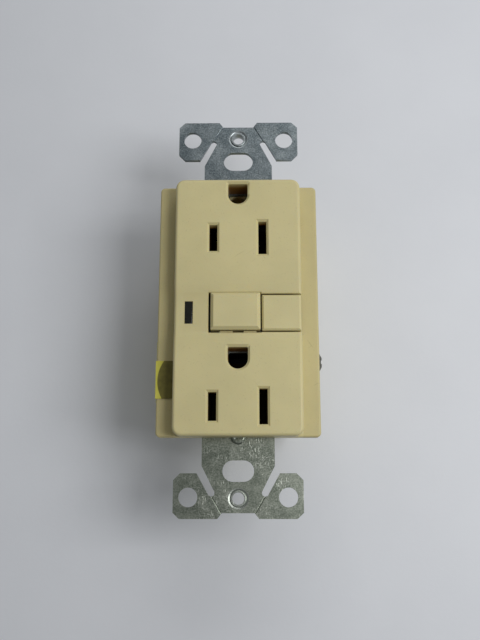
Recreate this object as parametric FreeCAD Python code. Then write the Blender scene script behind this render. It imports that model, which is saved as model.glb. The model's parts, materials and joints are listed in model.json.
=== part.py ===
import FreeCAD, Part
import math
import os

# A 15 A duplex ground-fault receptacle in the decorator shape. It lies on its back:
# +Z out of the face, +Y towards the ground holes, +X to the right, all in millimetres.
# The origin is the centre of the strap, on the strap's back (mounting) plane.
# "hot" parts are on the left, at -X, and "neutral" parts on the right, at +X.

# ---- driving dimensions: the strap
STRAP_T = 1.2
STRAP_HALF_W = 9.2
STRAP_BAR_HALF_W = 4.4
STRAP_NECK_END = 51.9
EAR_HALF_W = 16.3
EAR_END = 53.3
EAR_INNER = 42.2
EAR_HOLE_X = 12.57
EAR_HOLE_Y = 48.1
EAR_HOLE_R = 2.4
PLATE_SCREW_Y = 48.42
PLATE_SCREW_R = 1.5
COLLAR_R = 2.5
COLLAR_DROP = 1.4
FUNNEL_R = 2.65
FUNNEL_DEEP = 0.75
BOX_SLOT_Y = 41.67
BOX_SLOT_LONG = 8.0
BOX_SLOT_WIDE = 5.3
SCORE_DEEP = 0.2
STRAP_GROUND_R = 3.4
STRAP_GROUND_FLAT = 2.65
RIVETS = ((23.0, 1.2), (-20.4, 1.2), (-33.2, 0.9))
RIVET_HEAD_R = 1.9

# ---- driving dimensions: the front cover
FLANGE_HALF_W = 20.87
COVER_HALF_L = 33.4
FLANGE_TOP = 2.95
FACE_HALF_W = 16.2
FACE_TOP = 8.7
COVER_WALL = 1.8
FACE_SKIN = 2.0
RECESS_FLOOR = 8.0
RECESS_Y = (-10.41, -7.24, 2.63, 5.12)
TUBE_END = 5.4
GROUND_TUBE_END = 1.45

# ---- driving dimensions: the two receptacles
BLADE_X = 6.35
BLADE_LINES_Y = (17.3, -26.2)
GROUND_OFFSET = 11.9
SLOT_W = 2.1
HOT_SLOT_L = 7.1
NEUTRAL_SLOT_L = 8.8
GROUND_HOLE_R = 2.54
GROUND_FLAT = 2.95
SLOT_BEVEL = 0.55
SLOT_BEVEL_DEEP = 0.5

# ---- driving dimensions: buttons and indicator
RESET_X = (-6.9, 5.73)
RESET_Y = (-6.99, 2.62)
RESET_TOP = 9.3
TEST_X = (6.1, 16.05)
TEST_Y = (-7.13, 2.11)
TEST_TOP = 8.35
BUTTON_FOOT = 3.6
TEST_FOOT = 4.25
BUTTON_WALL = 1.2
WELL_X = (-7.45, 5.92)
WELL_Y = (-7.6, 2.78)
TEST_WELL_Y = (-7.5, 2.5)
STEM_X = -0.6
STEM_Y = -2.2
STEM_R = 1.7
TEST_STEM_X = 11.4
TEST_STEM_Y = -3.5
LENS_X = (-13.5, -11.45)
LENS_Y = (-5.3, 0.5)

# ---- driving dimensions: the back body
BODY_HALF_W = 19.4
BODY_HALF_L = 32.0
REAR_HALF_L = 31.1
END_WALL = 1.3
BODY_WALL = 1.6
SHOULDER_Z = -17.0
REAR_HALF_W = 14.4
BACK_Z = -32.0
BACK_WALL = 2.0
BAY_Y = (5.6, -12.9)
BAY_HALF_L = 5.6
BAY_FLOOR = -14.5
BAY_INNER_X = 13.0
POCKET_WALL = 1.6
COLUMN_X = 11.5
COLUMN_Y = 28.2
COLUMN_R = 2.2
COLUMN_BORE = 1.3
HEAD_BORE_R = 2.3
HEAD_BORE_DEEP = 2.3

# ---- driving dimensions: terminals
CONTACT_T = 0.45
PLATE_X = 17.8
PLATE_T = 1.2
LEG_X = (10.3, 11.1)
CORE_X = (1.4, 2.2)
STRIP_HALF_W = 0.6
STRIP_TOP_Z = (-13.0, -12.2)
STRIP_LOW_Z = (-26.9, -26.3)
FOOT_Z = -13.2
WIRE_HOLE_X = 16.4
WIRE_HOLE_DY = 2.6
WIRE_HOLE_R = 1.3
TERMINAL_Z = -7.6
TERMINAL_R = 2.08
HEAD_R = 4.0
HEAD_T = 2.4
HEAD_RIM = 1.0
CROWN_R = 1.5
LINE_NEUTRAL_OUT = 0.3
LOAD_NEUTRAL_OUT = 0.9
CLAMP_X = 13.4
CLAMP_T = 1.6
FIT = 0.06
GROUND_LEG_X = -6.3
GROUND_SCREW_Y = -35.5
GROUND_LEG_HALF = 3.1
GROUND_HEX_R = 3.2
GROUND_SCREW_Z = -8.2
TAPE_T = 0.2

# ---- driving dimensions: the trip mechanism
CARRIER_FLOOR = -12.0
CARRIER_HALF_W = 9.9
CARRIER_END_HALF_W = 15.0
CARRIER_HALF_L = 30.6
SHAFT_HALF = 3.5
SPRING_SEAT = -10.5
PIN_R = 1.0
PIN_END = -23.5
LIFTER_TOP = -18.8
LIFTER_FLOOR = -22.0
LIFTER_WING = 10.6
ARM_DX = 9.8
ARM_HALF_W = 0.85
ARM_T = 0.5
ARM_PIVOT_Y = 9.0
ARM_TIP_Y = -9.0
ARM_Z = -18.6
TIP_R = 0.85
TIP_T = 0.6
FIXED_TIP_T = 0.85
TIP_Y = -7.9
LATCH_Z = -20.9
LATCH_T = 0.6
SOLENOID_Z = -18.0
PLUNGER_R = 2.0
NOSE_R = 1.0

# ---- driving dimensions: board and transformers
BOARD_TOP = -27.2
BOARD_T = 1.2
BOARD_HALF_W = 12.2
BOARD_HALF_L = 29.7
TORUS_Y = 18.0
TORUS_R = 8.5
TORUS_BORE = 4.4
TORUS_H = 4.5


def v(x, y, z):
    return FreeCAD.Vector(x, y, z)


def block(x0, x1, y0, y1, z0, z1):
    return Part.makeBox(x1 - x0, y1 - y0, z1 - z0, v(x0, y0, z0))


def rod(x, y, z0, z1, r):
    return Part.makeCylinder(r, z1 - z0, v(x, y, z0), v(0, 0, 1))


def rod_x(x0, x1, y, z, r):
    return Part.makeCylinder(r, x1 - x0, v(x0, y, z), v(1, 0, 0))


def rod_y(x, y0, y1, z, r):
    return Part.makeCylinder(r, y1 - y0, v(x, y0, z), v(0, 1, 0))


def join(first, *others):
    return first.multiFuse(list(others)).removeSplitter()


def less(shape, *tools):
    return shape.cut(list(tools))


def mirrored_x(shape):
    return shape.mirror(v(0, 0, 0), v(1, 0, 0))


def mirrored_y(shape):
    return shape.mirror(v(0, 0, 0), v(0, 1, 0))


def prism(points, thickness):
    """A flat outline of (x, y, z) points, pushed along a vector."""
    wire = Part.makePolygon([v(*p) for p in points + points[:1]])
    return Part.Face(wire).extrude(thickness)


def upright_edges(shape):
    return [e for e in shape.Edges if abs(e.tangentAt(e.FirstParameter).z) > 0.99]


def rim_edges(shape, z):
    return [e for e in shape.Edges if abs(e.BoundBox.ZMin - z) < 1e-6 and abs(e.BoundBox.ZMax - z) < 1e-6]


def rounded_block(x0, x1, y0, y1, z0, z1, corner, rim):
    """A block with rounded upright corners and a rounded rim on top."""
    solid = block(x0, x1, y0, y1, z0, z1)
    solid = solid.makeFillet(corner, upright_edges(solid))
    return solid.makeFillet(rim, rim_edges(solid, z1))


def coil_spring(x, y, z0, z1, radius, wire_r, turns):
    """A compression spring along Z between two heights, wire included."""
    low = z0 + wire_r
    high = z1 - wire_r
    helix = Part.makeHelix((high - low) / turns, high - low, radius)
    start = helix.Edges[0].tangentAt(helix.Edges[0].FirstParameter)
    ring = Part.Wire(Part.makeCircle(wire_r, v(radius, 0, 0), start))
    spring = Part.Wire(helix.Edges).makePipeShell([ring], True, True)
    spring.translate(v(x, y, low))
    return spring


def laid_along_y(shape, x, y, z):
    """Turns a shape made along +Z so that it runs along +Y from (x, y, z)."""
    turned = shape.copy()
    turned.rotate(v(0, 0, 0), v(1, 0, 0), -90)
    turned.translate(v(x, y, z))
    return turned


def save(name, *solids):
    shape = solids[0] if len(solids) == 1 else Part.makeCompound(list(solids))
    shape.exportStep(os.path.join("parts", name + ".step"))


# ---- strap -------------------------------------------------------------------------------

def strap_end():
    """The strap's top end: the neck, the two break-off plaster ears and their holes."""
    neck_side = 25.0
    outline = [
        (STRAP_HALF_W, neck_side), (STRAP_HALF_W, 40.4), (5.9, 46.85), (6.05, 47.6), (6.75, 47.95),
        (7.4, 47.7), (10.5, EAR_INNER), (14.6, EAR_INNER), (EAR_HALF_W, 43.9), (EAR_HALF_W, 51.8),
        (14.7, EAR_END), (5.2, EAR_END), (4.1, STRAP_NECK_END),
    ]
    left = [(-x, y) for x, y in reversed(outline)]
    plate = prism([(x, y, 0) for x, y in outline + left], v(0, 0, STRAP_T))
    collar = rod(0, PLATE_SCREW_Y, -COLLAR_DROP, STRAP_T / 2, COLLAR_R)
    plate = join(plate, collar)
    funnel = Part.makeCone(PLATE_SCREW_R, FUNNEL_R, FUNNEL_DEEP, v(0, PLATE_SCREW_Y, STRAP_T - FUNNEL_DEEP))
    tapped = rod(0, PLATE_SCREW_Y, -5, 5, PLATE_SCREW_R)
    half_straight = (BOX_SLOT_LONG - BOX_SLOT_WIDE) / 2
    slot_r = BOX_SLOT_WIDE / 2
    slot = join(
        block(-half_straight, half_straight, BOX_SLOT_Y - slot_r, BOX_SLOT_Y + slot_r, -5, 5),
        rod(-half_straight, BOX_SLOT_Y, -5, 5, slot_r),
        rod(half_straight, BOX_SLOT_Y, -5, 5, slot_r),
    )
    ears = [rod(side * EAR_HOLE_X, EAR_HOLE_Y, -5, 5, EAR_HOLE_R) for side in (-1, 1)]
    return less(plate, funnel, tapped, slot, score_line(), mirrored_x(score_line()), *ears)


def score_line():
    """The shallow groove where an ear snaps off, from the slit's end to the neck's corner."""
    start = v(6.75, 47.8, STRAP_T)
    run = v(4.1, 52.3, STRAP_T) - start
    across = v(-run.y, run.x, 0).normalize() * SCORE_DEEP
    low = start - v(0, 0, SCORE_DEEP)
    wire = Part.makePolygon([start - across, start + across, low, start - across])
    return Part.Face(wire).extrude(run)


def strap_ground_hole(y):
    """The strap's clearance hole for a ground pin: round, with a flat inside the body's end wall."""
    beyond = block(-5, 5, y + STRAP_GROUND_FLAT, y + 5, -2, 4)
    return less(rod(0, y, -1, 3, STRAP_GROUND_R), beyond)


def mounting_strap():
    top = strap_end()
    bottom = mirrored_y(strap_end())
    lower_line = BLADE_LINES_Y[1]
    bar = block(-STRAP_BAR_HALF_W, STRAP_BAR_HALF_W, -32.5, 25.5, 0, STRAP_T)
    middle = block(-STRAP_HALF_W, STRAP_HALF_W, -19.0, 10.6, 0, STRAP_T)
    foot = block(-STRAP_HALF_W, STRAP_HALF_W, lower_line - 6.0, -24.0, 0, STRAP_T)
    strap = join(top, less(bottom, foot), bar, middle)
    window = block(
        STEM_X - SHAFT_HALF, STEM_X + SHAFT_HALF, STEM_Y - SHAFT_HALF, STEM_Y + SHAFT_HALF, -1, 3)
    ground_holes = [strap_ground_hole(y + GROUND_OFFSET) for y in BLADE_LINES_Y]
    rivet_holes = [rod(0, y, -1, 3, r) for y, r in RIVETS]
    strap = less(strap, window, *ground_holes, *rivet_holes)
    link = block(-STRAP_BAR_HALF_W, STRAP_BAR_HALF_W, -33.0, -23.0, 0, STRAP_T)
    return join(strap, less(link, *rivet_holes))


def ground_rivets():
    """Two rivets hold the ground contacts under the strap, and one holds the ground terminal."""
    solids = []
    for y, r in RIVETS:
        outside = y < -BODY_HALF_L
        under = -PLATE_T if outside else -CONTACT_T
        tail_r = 1.1 if outside else 1.8
        shank = rod(0, y, under, STRAP_T, r)
        head = Part.makeCone(RIVET_HEAD_R, RIVET_HEAD_R - 0.5, 0.65, v(0, y, STRAP_T))
        tail = rod(0, y, under - 0.5, under, tail_r)
        solids.append(join(shank, head, tail))
    return solids


def ground_contact(line_y, rivet_y):
    """Two leaves that grip the ground pin, with a flange riveted under the strap."""
    y = line_y + GROUND_OFFSET
    low = y - 2.65
    high = y + 1.5
    inner = 2.45
    outer = inner + CONTACT_T
    floor = -9.0
    left = block(-outer, -inner, low, high, floor, 0)
    right = block(inner, outer, low, high, floor, 0)
    base = block(-outer, outer, low, high, floor - CONTACT_T, floor)
    flange = block(-outer, outer, rivet_y - 1.8, low + 0.5, -CONTACT_T, 0)
    return less(join(left, right, base, flange), rod(0, rivet_y, -1, 1, 1.2))


def ground_terminal():
    """The bracket riveted under the strap's lower end; its side leg carries the ground screw."""
    low = GROUND_SCREW_Y - GROUND_LEG_HALF
    high = GROUND_SCREW_Y + GROUND_LEG_HALF
    flange = block(GROUND_LEG_X, -GROUND_LEG_X, low, -BODY_HALF_L - 0.05, -PLATE_T, 0)
    leg = block(GROUND_LEG_X, GROUND_LEG_X + PLATE_T, low, high, -13.6, 0)
    tapped = rod_x(GROUND_LEG_X - 1, GROUND_LEG_X + 3, GROUND_SCREW_Y, GROUND_SCREW_Z, TERMINAL_R + FIT)
    rivet_y, rivet_r = RIVETS[2]
    return less(join(flange, leg), tapped, rod(0, rivet_y, -3, 1, rivet_r))


def ground_screw():
    """The green hexagon washer-head screw of the ground terminal, driven from the left."""
    x = GROUND_LEG_X
    y = GROUND_SCREW_Y
    z = GROUND_SCREW_Z
    shank = rod_x(x, x + 4.4, y, z, TERMINAL_R)
    washer = rod_x(x - 0.7, x, y, z, GROUND_HEX_R + 0.1)
    turns = [math.radians(a) for a in range(0, 360, 60)]
    corners = [(x - 3.0, y + GROUND_HEX_R * math.cos(a), z + GROUND_HEX_R * math.sin(a)) for a in turns]
    hexagon = prism(corners, v(2.4, 0, 0))
    slot = block(x - 3.1, x - 1.9, y - 5, y + 5, z - 0.6, z + 0.6)
    return less(join(shank, washer, hexagon), slot)


# ---- front cover -------------------------------------------------------------------------

def blade_slot(x, y, long, floor):
    half_w = SLOT_W / 2
    hole = block(x - half_w, x + half_w, y - long / 2, y + long / 2, floor, FACE_TOP + 1)
    return join(hole, slot_bevel(x - half_w, x + half_w, y - long / 2, y + long / 2))


def slot_bevel(x0, x1, y0, y1):
    """The sloped lead-in round a slot's mouth."""
    low = FACE_TOP - SLOT_BEVEL_DEEP
    b = SLOT_BEVEL
    rings = []
    for z, grow in ((low, 0.0), (FACE_TOP + 0.001, b)):
        left, right, near, far = x0 - grow, x1 + grow, y0 - grow, y1 + grow
        corners = ((left, near), (right, near), (right, far), (left, far), (left, near))
        rings.append(Part.makePolygon([v(x, y, z) for x, y in corners]))
    return Part.makeLoft(rings, True, True)


def ground_hole(line_y, floor, grow=0.0):
    """The D-shaped ground hole: round below, flat on top."""
    y = line_y + GROUND_OFFSET
    r = GROUND_HOLE_R + grow
    top = y + GROUND_FLAT + grow
    return join(rod(0, y, floor, FACE_TOP + 1, r), block(-r, r, y, top, floor, FACE_TOP + 1))


def ground_bevel(line_y):
    """The lead-in round a ground hole's mouth."""
    y = line_y + GROUND_OFFSET
    cone = Part.makeCone(
        GROUND_HOLE_R, GROUND_HOLE_R + SLOT_BEVEL, SLOT_BEVEL_DEEP, v(0, y, FACE_TOP - SLOT_BEVEL_DEEP))
    return join(cone, slot_bevel(-GROUND_HOLE_R, GROUND_HOLE_R, y, y + GROUND_FLAT))


def recess_band():
    """The shallow full-width recess that the buttons and the indicator sit in."""
    a, b, c, d = RECESS_Y
    x = -FACE_HALF_W - 1
    over = FACE_TOP + 2
    corners = ((a, FACE_TOP), (b, RECESS_FLOOR), (c, RECESS_FLOOR), (d, FACE_TOP), (d, over), (a, over))
    return prism([(x, y, z) for y, z in corners], v(2 * FACE_HALF_W + 2, 0, 0))


def cover_shell():
    flange = rounded_block(
        -FLANGE_HALF_W, FLANGE_HALF_W, -COVER_HALF_L, COVER_HALF_L, 0, FLANGE_TOP, 1.1, 0.5)
    face = rounded_block(-FACE_HALF_W, FACE_HALF_W, -COVER_HALF_L, COVER_HALF_L, 0, FACE_TOP, 2.2, 0.8)
    inner_w = FACE_HALF_W - COVER_WALL
    inner_l = COVER_HALF_L - COVER_WALL
    cavity = block(-inner_w, inner_w, -inner_l, inner_l, -1, FACE_TOP - FACE_SKIN)
    return less(join(flange, face), cavity, recess_band())


def cover_inner_walls():
    """The slot tubes, button wells, lens tube and screw bosses inside the cover."""
    under = FACE_TOP - FACE_SKIN + 0.2
    walls = []
    for y in BLADE_LINES_Y:
        for x, long in ((-BLADE_X, HOT_SLOT_L), (BLADE_X, NEUTRAL_SLOT_L)):
            half_w = SLOT_W / 2 + 0.9
            half_l = long / 2 + 0.9
            walls.append(block(x - half_w, x + half_w, y - half_l, y + half_l, TUBE_END, under))
        g = y + GROUND_OFFSET
        high = min(g + GROUND_FLAT + 1.0, COVER_HALF_L - COVER_WALL + 0.1)
        walls.append(block(-3.5, 3.5, g - GROUND_HOLE_R - 1.0, high, GROUND_TUBE_END, under))
    right = FACE_HALF_W - COVER_WALL + 0.1
    walls.append(block(WELL_X[0] - 1.0, right, WELL_Y[0] - 1.0, WELL_Y[1] + 1.0, BUTTON_FOOT - 0.4, under))
    walls.append(block(-right, LENS_X[1] + 0.9, LENS_Y[0] - 0.9, LENS_Y[1] + 0.9, BUTTON_FOOT, under))
    for x, y in column_places():
        walls.append(rod(x, y, 0, under, COLUMN_R))
    return walls


def button_opening():
    """Reset and test share one opening; the test side runs out through the cover's side wall."""
    reset = block(WELL_X[0], WELL_X[1], WELL_Y[0], WELL_Y[1], -1, FACE_TOP + 1)
    left = WELL_X[1] - 0.01
    test = block(left, FACE_HALF_W + 0.01, *TEST_WELL_Y, FLANGE_TOP, FACE_TOP + 1)
    stem_way = block(left, FACE_HALF_W - COVER_WALL, *TEST_WELL_Y, -1, FLANGE_TOP + 1)
    return join(reset, test, stem_way)


def front_cover():
    cover = join(cover_shell(), *cover_inner_walls())
    cuts = [button_opening()]
    cuts.append(block(LENS_X[0], LENS_X[1], LENS_Y[0], LENS_Y[1], -1, FACE_TOP + 1))
    for y in BLADE_LINES_Y:
        cuts.append(blade_slot(-BLADE_X, y, HOT_SLOT_L, -1))
        cuts.append(blade_slot(BLADE_X, y, NEUTRAL_SLOT_L, -1))
        cuts.append(ground_hole(y, -1))
        cuts.append(ground_bevel(y))
    for x, y in column_places():
        cuts.append(rod(x, y, -1, 6.0, COLUMN_BORE))
    for end in (-1, 1):
        near = end * (COVER_HALF_L - COVER_WALL - 0.1)
        far = end * (COVER_HALF_L + 1)
        cuts.append(block(
            -STRAP_HALF_W - 0.1, STRAP_HALF_W + 0.1, min(near, far), max(near, far), -1, STRAP_T))
    cuts.append(rod(0, RIVETS[2][0], -1, STRAP_T + 0.75, RIVET_HEAD_R + 0.2))
    cover = less(cover, *cuts)
    ledge_y = (WELL_Y[0] - 0.01, WELL_Y[0] + 0.42)
    ledges = [block(x0, x1, ledge_y[0], ledge_y[1], BUTTON_FOOT, RECESS_FLOOR - 0.5)
              for x0, x1 in ((-4.6, -1.3), (1.5, 4.7))]
    return join(cover, *ledges)


# ---- buttons and indicator ---------------------------------------------------------------

def button_cap(x, y, foot, top, bevel):
    """A hollow cap with sloped upper edges, open underneath."""
    cap = block(x[0], x[1], y[0], y[1], foot, top)
    cap = cap.makeChamfer(bevel, rim_edges(cap, top))
    w = BUTTON_WALL
    hollow = block(x[0] + w, x[1] - w, y[0] + w, y[1] - w, foot - 1, top - 1.8)
    return less(cap, hollow)


def reset_button():
    cap = button_cap(RESET_X, RESET_Y, BUTTON_FOOT, RESET_TOP, 0.75)
    stem = rod(STEM_X, STEM_Y, 2.1, RESET_TOP - 1.0, STEM_R)
    return less(join(cap, stem), rod(STEM_X, STEM_Y, 0, 6.0, PIN_R))


def test_button():
    cap = button_cap(TEST_X, TEST_Y, TEST_FOOT, TEST_TOP, 0.45)
    root = block(TEST_STEM_X - 1, TEST_STEM_X + 1, TEST_STEM_Y - 1, TEST_STEM_Y + 1, -5.3, TEST_TOP - 1.0)
    return join(cap, root)


def reset_pin():
    """The steel latch pin pressed into the reset button, with a collar and a cone at its end."""
    shank = rod(STEM_X, STEM_Y, PIN_END + 1.6, 6.0, PIN_R)
    collar = rod(STEM_X, STEM_Y, PIN_END + 0.9, PIN_END + 1.6, PIN_R + 0.25)
    tip = Part.makeCone(0.3, PIN_R + 0.25, 0.9, v(STEM_X, STEM_Y, PIN_END))
    return join(shank, collar, tip)


def indicator_lens():
    inset = 0.03
    return block(
        LENS_X[0] + inset, LENS_X[1] - inset, LENS_Y[0] + inset, LENS_Y[1] - inset,
        BUTTON_FOOT + 0.3, RECESS_FLOOR - 0.15)


def indicator_led():
    """The lamp under the lens, with its two leads down to the board."""
    x = (LENS_X[0] + LENS_X[1]) / 2
    y = TEST_STEM_Y - 0.15
    bulb_r = 1.5
    bulb_top = 3.0
    bulb = rod(x, y, -2.0, bulb_top, bulb_r)
    bulb = bulb.makeFillet(bulb_r - 0.1, rim_edges(bulb, bulb_top))
    base = rod(x, y, -2.8, -2.0, bulb_r + 0.2)
    leads = [rod(-11.75, y + dy, BOARD_TOP, -2.7, 0.25) for dy in (-0.9, 0.9)]
    return join(bulb, base, *leads)


# ---- back body ---------------------------------------------------------------------------

def bay_blocks():
    """Solid surrounds that the wire-clamp pockets are cut from, one per terminal."""
    blocks = []
    for side in (-1, 1):
        for y in BAY_Y:
            x0, x1 = sorted((side * (BAY_INNER_X - POCKET_WALL), side * BODY_HALF_W))
            half = BAY_HALF_L + POCKET_WALL
            blocks.append(block(x0, x1, y - half, y + half, SHOULDER_Z, 0))
    return blocks


def bay_pockets():
    pockets = []
    for side in (-1, 1):
        for y in BAY_Y:
            x0, x1 = sorted((side * BAY_INNER_X, side * (BODY_HALF_W + 1)))
            pockets.append(block(x0, x1, y - BAY_HALF_L, y + BAY_HALF_L, BAY_FLOOR, 1))
            n0, n1 = sorted((side * (BAY_INNER_X - POCKET_WALL - 1), side * (BAY_INNER_X + 0.1)))
            pockets.append(block(n0, n1, y - 2.2, y + 2.2, -2.7, 1))
            for dy in (-WIRE_HOLE_DY, WIRE_HOLE_DY):
                x = side * WIRE_HOLE_X
                pockets.append(rod(x, y + dy, SHOULDER_Z - 1, BAY_FLOOR + 1, WIRE_HOLE_R))
                pockets.append(Part.makeCone(WIRE_HOLE_R + 0.6, WIRE_HOLE_R, 1.2, v(x, y + dy, SHOULDER_Z)))
    return pockets


def body_shell():
    front = block(-BODY_HALF_W, BODY_HALF_W, -BODY_HALF_L, BODY_HALF_L, SHOULDER_Z, 0)
    front = front.makeFillet(1.2, upright_edges(front))
    rear = block(-REAR_HALF_W, REAR_HALF_W, -REAR_HALF_L, REAR_HALF_L, BACK_Z, SHOULDER_Z + 1)
    rear = rear.makeFillet(1.2, upright_edges(rear))
    rear = rear.makeChamfer(0.5, rim_edges(rear, BACK_Z))
    front_l = BODY_HALF_L - END_WALL
    front_hollow = block(
        -BODY_HALF_W + BODY_WALL, BODY_HALF_W - BODY_WALL, -front_l, front_l, SHOULDER_Z + BODY_WALL, 1)
    rear_l = REAR_HALF_L - END_WALL
    rear_hollow = block(
        -REAR_HALF_W + BODY_WALL, REAR_HALF_W - BODY_WALL, -rear_l, rear_l, BACK_Z + BACK_WALL, 1)
    return less(join(front, rear), front_hollow, rear_hollow)


def barrier_hollows():
    """The space between two bays on each side, where the test stem and the lamp sit."""
    low = BAY_Y[1] + BAY_HALF_L + POCKET_WALL
    high = BAY_Y[0] - BAY_HALF_L - POCKET_WALL
    hollows = []
    for side in (-1, 1):
        x0, x1 = sorted((side * (BAY_INNER_X - POCKET_WALL - 1), side * (BODY_HALF_W - BODY_WALL)))
        hollows.append(block(x0, x1, low, high, SHOULDER_Z + BODY_WALL, 1))
    return hollows


def column_places():
    return [(x, y) for x in (-COLUMN_X, COLUMN_X) for y in (-COLUMN_Y, COLUMN_Y)]


def back_body():
    body = join(body_shell(), *bay_blocks())
    posts = [rod(x, y, BACK_Z, 0, COLUMN_R) for x, y in column_places()]
    rests = [block(x - 1, x + 1, y - 1, y + 1, BACK_Z + 1, BOARD_TOP - BOARD_T)
             for x in (-10.5, 10.5) for y in (-20.0, 20.0)]
    body = join(body, *posts, *rests)
    cuts = bay_pockets() + barrier_hollows()
    cuts.append(rod(0, BLADE_LINES_Y[0] + GROUND_OFFSET, -10, 1, GROUND_HOLE_R))
    for x, y in column_places():
        cuts.append(rod(x, y, BACK_Z - 1, 1, COLUMN_BORE))
        cuts.append(rod(x, y, BACK_Z - 1, BACK_Z + HEAD_BORE_DEEP, HEAD_BORE_R))
    body = less(body, *cuts)
    outer = BODY_HALF_W - BODY_WALL + 0.1
    shelf = block(16.2, outer, TEST_STEM_Y - 2, TEST_STEM_Y + 2, SHOULDER_Z + 1, -6.2)
    return join(body, shelf)


def housing_screws():
    """Four long screws run from the back through the columns into the cover's bosses."""
    solids = []
    head_low = BACK_Z + 0.4
    head_high = BACK_Z + HEAD_BORE_DEEP
    for x, y in column_places():
        shank = rod(x, y, head_high, 5.4, COLUMN_BORE - FIT)
        head = rod(x, y, head_low, head_high, HEAD_BORE_R - 0.25)
        head = head.makeFillet(0.6, rim_edges(head, head_low))
        cross = [block(x - a, x + a, y - b, y + b, head_low - 1, head_low + 1.1)
                 for a, b in ((1.2, 0.3), (0.3, 1.2))]
        solids.append(less(join(shank, head), *cross))
    return solids


# ---- terminals ---------------------------------------------------------------------------

def terminal_plate(y):
    """The outer plate with the screw's hole, its top tab and the leg inside the body."""
    half = 5.0
    plate = block(PLATE_X, PLATE_X + PLATE_T, y - half, y + half, BAY_FLOOR, -1.2)
    plate = plate.makeFillet(0.8, [e for e in plate.Edges if abs(e.tangentAt(e.FirstParameter).x) > 0.99])
    tab = block(LEG_X[0], PLATE_X + 0.1, y - 2, y + 2, -2.5, -1.5)
    leg = block(*LEG_X, y - 2, y + 2, -12.2, -1.5)
    hole = rod_x(PLATE_X - 1, PLATE_X + PLATE_T + 1, y, TERMINAL_Z, TERMINAL_R + FIT)
    return less(join(plate, tab, leg), hole)


def line_terminal(side):
    """A line terminal: its strip runs through the transformers to the contact arm's anchor."""
    y = BAY_Y[0]
    arm_x = STEM_X + side * ARM_DX
    leg = sorted(side * x for x in LEG_X)
    core = sorted(side * x for x in CORE_X)
    turn = sorted((side * CORE_X[0], side * LEG_X[1]))
    hold = (min(leg[0], arm_x - ARM_HALF_W), max(leg[1], arm_x + ARM_HALF_W))
    strip = (TORUS_Y - STRIP_HALF_W, TORUS_Y + STRIP_HALF_W)
    anchor = (ARM_PIVOT_Y + 0.3, ARM_PIVOT_Y + 1.3)
    runs = [
        block(*leg, y - 2, strip[1], *STRIP_TOP_Z),
        block(*turn, *strip, *STRIP_TOP_Z),
        block(*core, *strip, STRIP_LOW_Z[0], STRIP_TOP_Z[1]),
        block(*turn, *strip, *STRIP_LOW_Z),
        block(*leg, anchor[0], strip[1], *STRIP_LOW_Z),
        block(*leg, *anchor, STRIP_LOW_Z[0], ARM_Z + ARM_T),
        block(*hold, *anchor, ARM_Z, ARM_Z + ARM_T),
    ]
    plate = terminal_plate(y)
    return join(plate if side > 0 else mirrored_x(plate), *runs)


def load_terminal(side):
    """A load terminal: its leg ends in a foot that holds the fixed silver contact."""
    y = BAY_Y[1]
    arm_x = STEM_X + side * ARM_DX
    plate = terminal_plate(y)
    if side < 0:
        plate = mirrored_x(plate)
    l0, l1 = sorted(side * x for x in LEG_X)
    leg = block(l0, l1, y - 2, y + 2, FOOT_Z, -11.0)
    f0 = min(l0, arm_x - ARM_HALF_W)
    f1 = max(l1, arm_x + ARM_HALF_W)
    foot = block(f0, f1, y - 2, TIP_Y + 1.2, FOOT_Z, FOOT_Z + 0.6)
    return join(plate, leg, foot)


def clamp_plate(side, y):
    """The tapped plate that the screw draws outwards to grip a wire."""
    x0, x1 = sorted((side * CLAMP_X, side * (CLAMP_X + CLAMP_T)))
    plate = block(x0, x1, y - 4.4, y + 4.4, TERMINAL_Z - 4.4, TERMINAL_Z + 4.4)
    return less(plate, rod_x(x0 - 1, x1 + 1, y, TERMINAL_Z, TERMINAL_R + FIT))


def terminal_screw(side, y, out):
    """A binding-head terminal screw with a slot and cross recess and a low crown."""
    head_x = PLATE_X + PLATE_T + out
    shank = rod_x(BAY_INNER_X + 0.3 + out, head_x, y, TERMINAL_Z, TERMINAL_R)
    rim = rod_x(head_x, head_x + HEAD_RIM, y, TERMINAL_Z, HEAD_R)
    crown = Part.makeCone(
        HEAD_R, CROWN_R, HEAD_T - HEAD_RIM, v(head_x + HEAD_RIM, y, TERMINAL_Z), v(1, 0, 0))
    top = head_x + HEAD_T
    z = TERMINAL_Z
    slot = block(top - 1.0, top + 1, y - 5, y + 5, z - 0.5, z + 0.5)
    cross = block(top - 1.6, top + 1, y - 0.5, y + 0.5, z - 1.9, z + 1.9)
    screw = less(join(shank, rim, crown), slot, cross)
    return screw if side > 0 else mirrored_x(screw)


def load_terminal_tape():
    """Yellow tape over the hot load terminal: a wide skirt and a tab folded onto the flange."""
    edge = -FACE_HALF_W - 0.25
    outside = [
        (edge, FLANGE_TOP + TAPE_T), (-21.08, FLANGE_TOP + TAPE_T), (-21.15, -1.0), (-21.72, -3.4),
        (-21.72, -11.6), (-19.75, -15.2), (-19.75, -17.25), (-15.3, -17.25),
    ]
    inside = [
        (-15.3, -17.05), (-19.55, -17.05), (-19.55, -15.12), (-21.52, -11.52),
        (-21.52, -3.42), (-20.95, -0.98), (-20.9, FLANGE_TOP + 0.02), (edge, FLANGE_TOP + 0.02),
    ]
    tape = prism([(x, -24.0, z) for x, z in outside + inside], v(0, 16.0, 0))
    above = block(-30, 0, -40, -23.7, -1.0, 10)
    beyond = block(-30, 0, -14.0, 0, -1.0, 10)
    return less(tape, above, beyond)


# ---- contacts and carrier ----------------------------------------------------------------

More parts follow.
